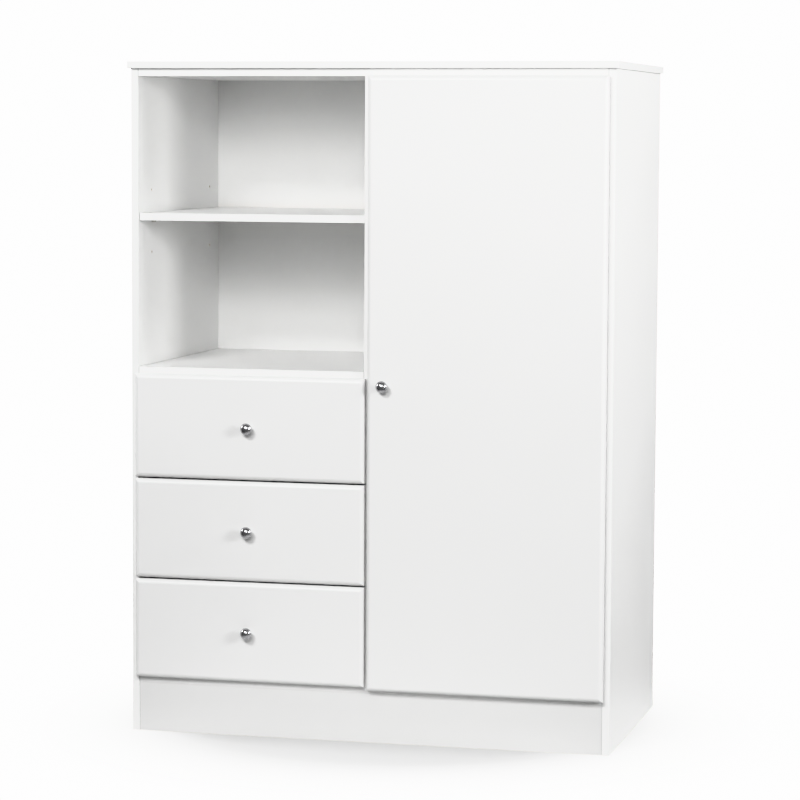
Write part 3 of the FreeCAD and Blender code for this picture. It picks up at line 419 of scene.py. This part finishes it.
dress("cam_bolts", ZINC_PLATED)
dress("cam_discs", DIE_CAST)
recut_screws("divider_screws", axis=Z, shank=0.0025, head=0.0025, body="cabinet")
BEECH_LIGHT = (0.70, 0.50, 0.31, 1.0)
BEECH_DARK = (0.52, 0.34, 0.19, 1.0)
BEECH_STRETCH = (12.0, 160.0, 160.0)


def beech(name):
    """Pale dowel wood with grain lines stretched along X."""
    material, shader, place = start_finish(name)
    along = place.node("Mapping", inputs={"Vector": place, "Scale": BEECH_STRETCH})
    lines = grain(along, cells=4.0, detail=4.0)
    feed(shader, Base_Color=mix(lines, BEECH_LIGHT, BEECH_DARK), Roughness=0.55 + 0.2 * lines,
         Normal=bump(lines, depth=0.0001, strength=0.3))
    return material


dress("kick_dowels", beech("dowel_beech"))


# Shelf pins: small steel pegs, turned and nickel plated, pushed by hand into the bored rows. Four of
# them carry the adjustable shelf, and the other holes stay free for it to be moved.
NICKEL_PLATED = plated("nickel_plated", tint=(0.72, 0.70, 0.66), roughness=0.22)
dress("shelf_pins", NICKEL_PLATED)


# Hanging rod and its sockets: a chromed steel tube carried at both ends by moulded white cups that
# are screwed to the divider and the right side panel.
CHROME = plated("polished_chrome", tint=(0.78, 0.78, 0.80), roughness=0.06, scratch=0.05)
PLASTIC_SHADE = 0.95


def moulded(name, tint, roughness):
    """Moulded plastic with a faint spark texture."""
    material, shader, place = start_finish(name)
    cloud = grain(place, cells=9.0)
    spark = grain(place, cells=1400.0)
    shade = tuple(part * PLASTIC_SHADE for part in tint)
    feed(shader, Base_Color=mix(cloud, (*tint, 1.0), (*shade, 1.0)), Roughness=roughness + 0.1 * cloud,
         Normal=bump(spark, depth=0.00003, strength=0.3))
    return material


dress("hanging_rod", CHROME)
dress("rod_sockets", moulded("socket_plastic", tint=(0.78, 0.78, 0.77), roughness=0.35))
FLANGE_THICKNESS = 0.003
HEAD_STANDS_OUT = 0.0015
SCREW_OFFSET = 0.0198
socket_low, socket_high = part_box("rod_sockets")
rod_low, rod_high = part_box("hanging_rod")
rod_y = (rod_low.y + rod_high.y) / 2.0
rod_z = (rod_low.z + rod_high.z) / 2.0
socket_screws = grid_piece("rod_socket_screws", [
    cross_head_screw((seat, rod_y + aside, rod_z), (facing, 0.0, 0.0),
                     length=FLANGE_THICKNESS + HEAD_STANDS_OUT, shank=0.0018, radius=0.0033, head=0.002)
    for seat, facing in ((socket_low.x, 1.0), (socket_high.x, -1.0))
    for aside in (-SCREW_OFFSET, SCREW_OFFSET)
], ZINC_PLATED)
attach(socket_screws, "cabinet")


# Drawer runners: smooth white strips screwed to the left side panel and the divider, on which the
# grooved drawer sides slide.
RUNNER = moulded("runner_plastic", tint=(0.76, 0.76, 0.74), roughness=0.3)
dress("left_drawer_runners", RUNNER)
dress("right_drawer_runners", RUNNER)
recut_screws("runner_screws", axis=X, shank=0.002, head=0.0025, body="cabinet")


# Hinges: pressed and nickel-plated steel. Plates and gooseneck arms stay on the right side panel;
# cups, pins and cup screws go with the door.
for pressing in ("hinge_plates", "hinge_arms", "hinge_cups"):
    dress(pressing, NICKEL_PLATED)
dress("hinge_pins", ZINC_PLATED)
recut_screws("hinge_plate_screws", axis=X, shank=0.002, head=0.002, body="cabinet")
recut_screws("hinge_cup_screws", axis=Y, shank=0.002, head=0.002, body="door")


# Door: a 16 mm board with a rounded front edge under one smooth white foil, bored behind for the
# hinge cups. Its chromed knob is turned, and screwed on from behind near the free edge.
FRONT_WHITE = (0.73, 0.73, 0.727, 1.0)
FRONT_WORN = (0.71, 0.71, 0.706, 1.0)
SKIN_SHARE = 0.05


def foil(name):
    """Satin white foil drawn over a rounded board: faint long waves, a fine skin and a little wear."""
    material, shader, place = start_finish(name, Coat_Roughness=0.25)
    wave = grain(place, cells=5.0, detail=1.0)
    skin = grain(place, cells=1100.0)
    touch = grain(place, cells=17.0, detail=3.0)
    feed(shader, Base_Color=mix(wave, FRONT_WHITE, FRONT_WORN), Roughness=0.30 + 0.10 * touch,
         Coat_Weight=0.12 + 0.08 * wave,
         Normal=bump(skin * SKIN_SHARE + wave, depth=0.0004, strength=0.12))
    return material


KNOB_CHROME = plated("knob_chrome", tint=(0.48, 0.48, 0.49), roughness=0.18, scratch=0.06, metallic=0.84)
KNOB_SIDES = 96
NECK_RINGS = 24
RIM_RINGS = 12
EDGE_RINGS = 8
CROWN_RINGS = 40
# Shares of the knob's reach, with the foot's wall as a share of the foot.
FOOT_REACH = 1.0 / 12.0
FOOT_WALL = 0.8
UNDERSIDE_REACH = 0.56
RIM_REACH = 0.64
EDGE_EASE = 1.0 / 16.0
# Shares of the knob's radius.
FOOT_RADIUS = 0.54
NECK_RADIUS = 0.37
NECK_SWELL = 0.13
NECK_FLARE = 0.47


def turned_knob(node, body):
    """A mushroom knob turned on a lathe, drawn out from the board along Y in the place of a plain one.

    Its profile is a short foot, a neck that thins with the fourth power of the way up and flares with the
    fifth, a rolled rim that is a quarter of an ellipse, and a crown that is the cap of a ball with an eased
    edge: the ball's radius is the one at which a circle of the edge's radius touches it from within.
    """
    low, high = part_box(node)
    radius = (high.x - low.x) / 2.0
    reach = high.y - low.y
    foot = reach * FOOT_REACH
    under = reach * UNDERSIDE_REACH
    rim = reach * RIM_REACH
    ease = reach * EDGE_EASE
    inner = radius - ease
    rise = reach - rim
    ball = (inner ** 2 + rise ** 2 - ease ** 2) / (2.0 * (rise - ease))
    tilt = np.arcsin(inner / (ball - ease))
    flare = NECK_RADIUS + NECK_FLARE
    way = np.linspace(0.0, 1.0, NECK_RINGS)
    roll = np.linspace(0.0, np.pi / 2.0, RIM_RINGS)[1:]
    edge = np.linspace(0.0, np.pi / 2.0 - tilt, EDGE_RINGS)[1:]
    cap = np.linspace(tilt, 0.0, CROWN_RINGS)[1:]
    heights = np.concatenate([
        [0.0, 0.0, FOOT_WALL * foot],
        foot + (under - foot) * way,
        rim - (rim - under) * np.cos(roll),
        rim + ease * np.sin(edge),
        reach - ball + ball * np.cos(cap),
    ])
    radii = np.concatenate([
        [0.0, FOOT_RADIUS * radius, FOOT_RADIUS * radius],
        radius * (NECK_RADIUS + NECK_SWELL * (1.0 - way) ** 4 + NECK_FLARE * way ** 5),
        radius * (flare + (1.0 - flare) * np.sin(roll)),
        inner + ease * np.cos(edge),
        ball * np.sin(cap),
    ])
    centre = ((low.x + high.x) / 2.0, high.y, (low.z + high.z) / 2.0)
    turned = lathe(heights, radii, KNOB_SIDES, centre, (0.0, -1.0, 0.0))
    piece = grid_piece(node + "_turned", [turned], KNOB_CHROME)
    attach(piece, body)
    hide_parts(node)


dress("door_panel", foil("foil_door"))
turned_knob("door_knob", "door")
recut_screws("door_knob_screw", axis=Y, shank=0.002, head=0.0025, body="door")


# Drawers: a foil-wrapped front, laminate-faced sides and back, a thin bottom in grooves, four screws
# at the back corners, and a knob drawn up by a screw from behind.
for drawer in ("bottom_drawer", "middle_drawer", "top_drawer"):
    front = drawer + "_front"
    dress(front, foil("foil_" + front))
    for part in ("_left_side", "_right_side", "_back"):
        dress(drawer + part, laminate("laminate_" + drawer + part, *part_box(drawer + part), [BELOW]))
    base_low, base_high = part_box(drawer + "_bottom")
    dress(drawer + "_bottom",
          hardboard("hardboard_" + drawer, Z, (base_low.z + base_high.z) / 2, False))
    recut_screws(drawer + "_box_screws", axis=X, shank=0.0025, head=0.0025, body=drawer)
    turned_knob(drawer + "_knob", drawer)
    recut_screws(drawer + "_knob_screw", axis=Y, shank=0.002, head=0.0025, body=drawer)


# Studio: a round pale floor that fades into a white ground, softboxes on all sides, and the camera
# where the photograph was taken from.
FLOOR_RADIUS = 1.0
FADE_START = 0.42
FADE_END = 0.95
FLOOR_PALE = (0.57, 0.57, 0.57, 1.0)
FLOOR_DULL = (0.55, 0.55, 0.55, 1.0)


def disc(radius, rings, sides):
    """Points of a flat disc: rings of equal spacing, each a circle of equal steps."""
    out, turn = np.meshgrid(np.linspace(0.0, radius, rings), np.linspace(0.0, 2.0 * np.pi, sides + 1),
                            indexing="ij")
    return np.stack([out * np.cos(turn), out * np.sin(turn), 0.0 * out], axis=-1)


pale, pale_shader, pale_place = start_finish("pale_floor", Roughness=0.9)
from_middle = pale_place.node("VectorMath", {"operation": "LENGTH"}, {0: pale_place}, output="Value")
fade = from_middle.node("MapRange", {"interpolation_type": "SMOOTHSTEP"},
                        {"Value": from_middle, "From Min": FADE_START, "From Max": FADE_END,
                         "To Min": 1.0, "To Max": 0.0})
feed(pale_shader, Base_Color=mix(grain(pale_place, cells=1.5), FLOOR_PALE, FLOOR_DULL), Alpha=fade)
grid_piece("studio_floor", [disc(FLOOR_RADIUS, rings=12, sides=64)], pale)

ROOM_GLOW = 0.02
GROUND_GLARE = 6.0
world = bpy.data.worlds.new("studio")
world.use_nodes = True
ground = world.node_tree.nodes["Background"]
ground.inputs["Color"].default_value = (1.0, 1.0, 1.0, 1.0)
seen = Shade(world.node_tree).node("LightPath", output="Is Camera Ray")
feed(ground, Strength=seen * (GROUND_GLARE - ROOM_GLOW) + ROOM_GLOW)
bpy.context.scene.world = world


def placed(place, across, back):
    """A matrix that sets an object down: its X axis across, its Z axis back, its Y axis square to both."""
    stand = np.eye(4)
    stand[:3] = np.stack([across, np.cross(back, across), back, place], axis=1)
    return Matrix(stand)


OPEN = 180.0
MIDDLE = 0.75
UPPER = 1.35
AIM_Y = -0.1
# Places and sizes in metres, power, the height aimed at, and the spread in degrees.
for name, place, width, height, watts, aim_z, spread in (
        ("key_light", (-1.0, -3.45, 2.9), 1.0, 0.5, 101.0, MIDDLE, OPEN),
        ("front_light", (0.31, -3.59, 1.9), 1.4, 1.0, 33.8, MIDDLE, OPEN),
        ("low_front_strip", (0.25, -2.7, 1.75), 1.2, 0.35, 11.7, MIDDLE, OPEN),
        ("high_front_strip", (0.31, -3.59, 2.25), 1.4, 0.4, 19.0, MIDDLE, OPEN),
        ("front_right_light", (1.52, -3.26, 2.7), 1.4, 1.0, 6.4, MIDDLE, OPEN),
        ("right_light", (3.05, -1.9, 1.35), 0.8, 0.8, 61.5, MIDDLE, OPEN),
        ("side_light", (3.6, -0.2, 2.1), 1.4, 1.0, 62.1, MIDDLE, OPEN),
        ("gridded_side_light", (3.6, -0.2, 1.9), 1.4, 1.0, 6.1, UPPER, 60.0),
        ("left_light", (-3.5, 0.2, 2.0), 1.4, 1.0, 105.0, MIDDLE, OPEN),
        ("overhead_light", (0.0, 0.6, 4.0), 1.2, 0.8, 3.0, UPPER, 50.0),
        ("back_light", (0.6, 3.6, 2.2), 1.8, 1.2, 75.0, MIDDLE, OPEN),
):
    softbox = bpy.data.lights.new(name, "AREA")
    softbox.shape = "RECTANGLE"
    softbox.size = width
    softbox.size_y = height
    softbox.energy = watts
    softbox.spread = math.radians(spread)
    away = np.array(place) - (0.0, AIM_Y, aim_z)
    away /= np.linalg.norm(away)
    across = np.cross((0.0, 0.0, 1.0), away)
    across /= np.linalg.norm(across)
    holder = bpy.data.objects.new(name, softbox)
    holder.matrix_world = placed(place, across, away)
    bpy.context.scene.collection.objects.link(holder)

AZIMUTH, ELEVATION, ROLL = (math.radians(angle) for angle in (14.01, 5.123, 0.28))
CAMERA_PLACE = (1.5162, -6.0583, 1.2372)
SENSOR_WIDTH = 36.0
FOCAL_PIXELS = 2995.0
IMAGE_PIXELS = 800.0
camera = bpy.data.cameras.new("camera")
camera.sensor_width = SENSOR_WIDTH
camera.lens = SENSOR_WIDTH * FOCAL_PIXELS / IMAGE_PIXELS
camera.clip_end = 100.0
back = np.array([math.sin(AZIMUTH) * math.cos(ELEVATION), -math.cos(AZIMUTH) * math.cos(ELEVATION),
                 math.sin(ELEVATION)])
right = np.array([math.cos(AZIMUTH), math.sin(AZIMUTH), 0.0])
rolled = math.cos(ROLL) * right + math.sin(ROLL) * np.cross(back, right)
viewer = bpy.data.objects.new("camera", camera)
viewer.matrix_world = placed(CAMERA_PLACE, rolled, back)
bpy.context.scene.collection.objects.link(viewer)
bpy.context.scene.camera = viewer
bpy.context.scene.view_settings.view_transform = "Khronos PBR Neutral"
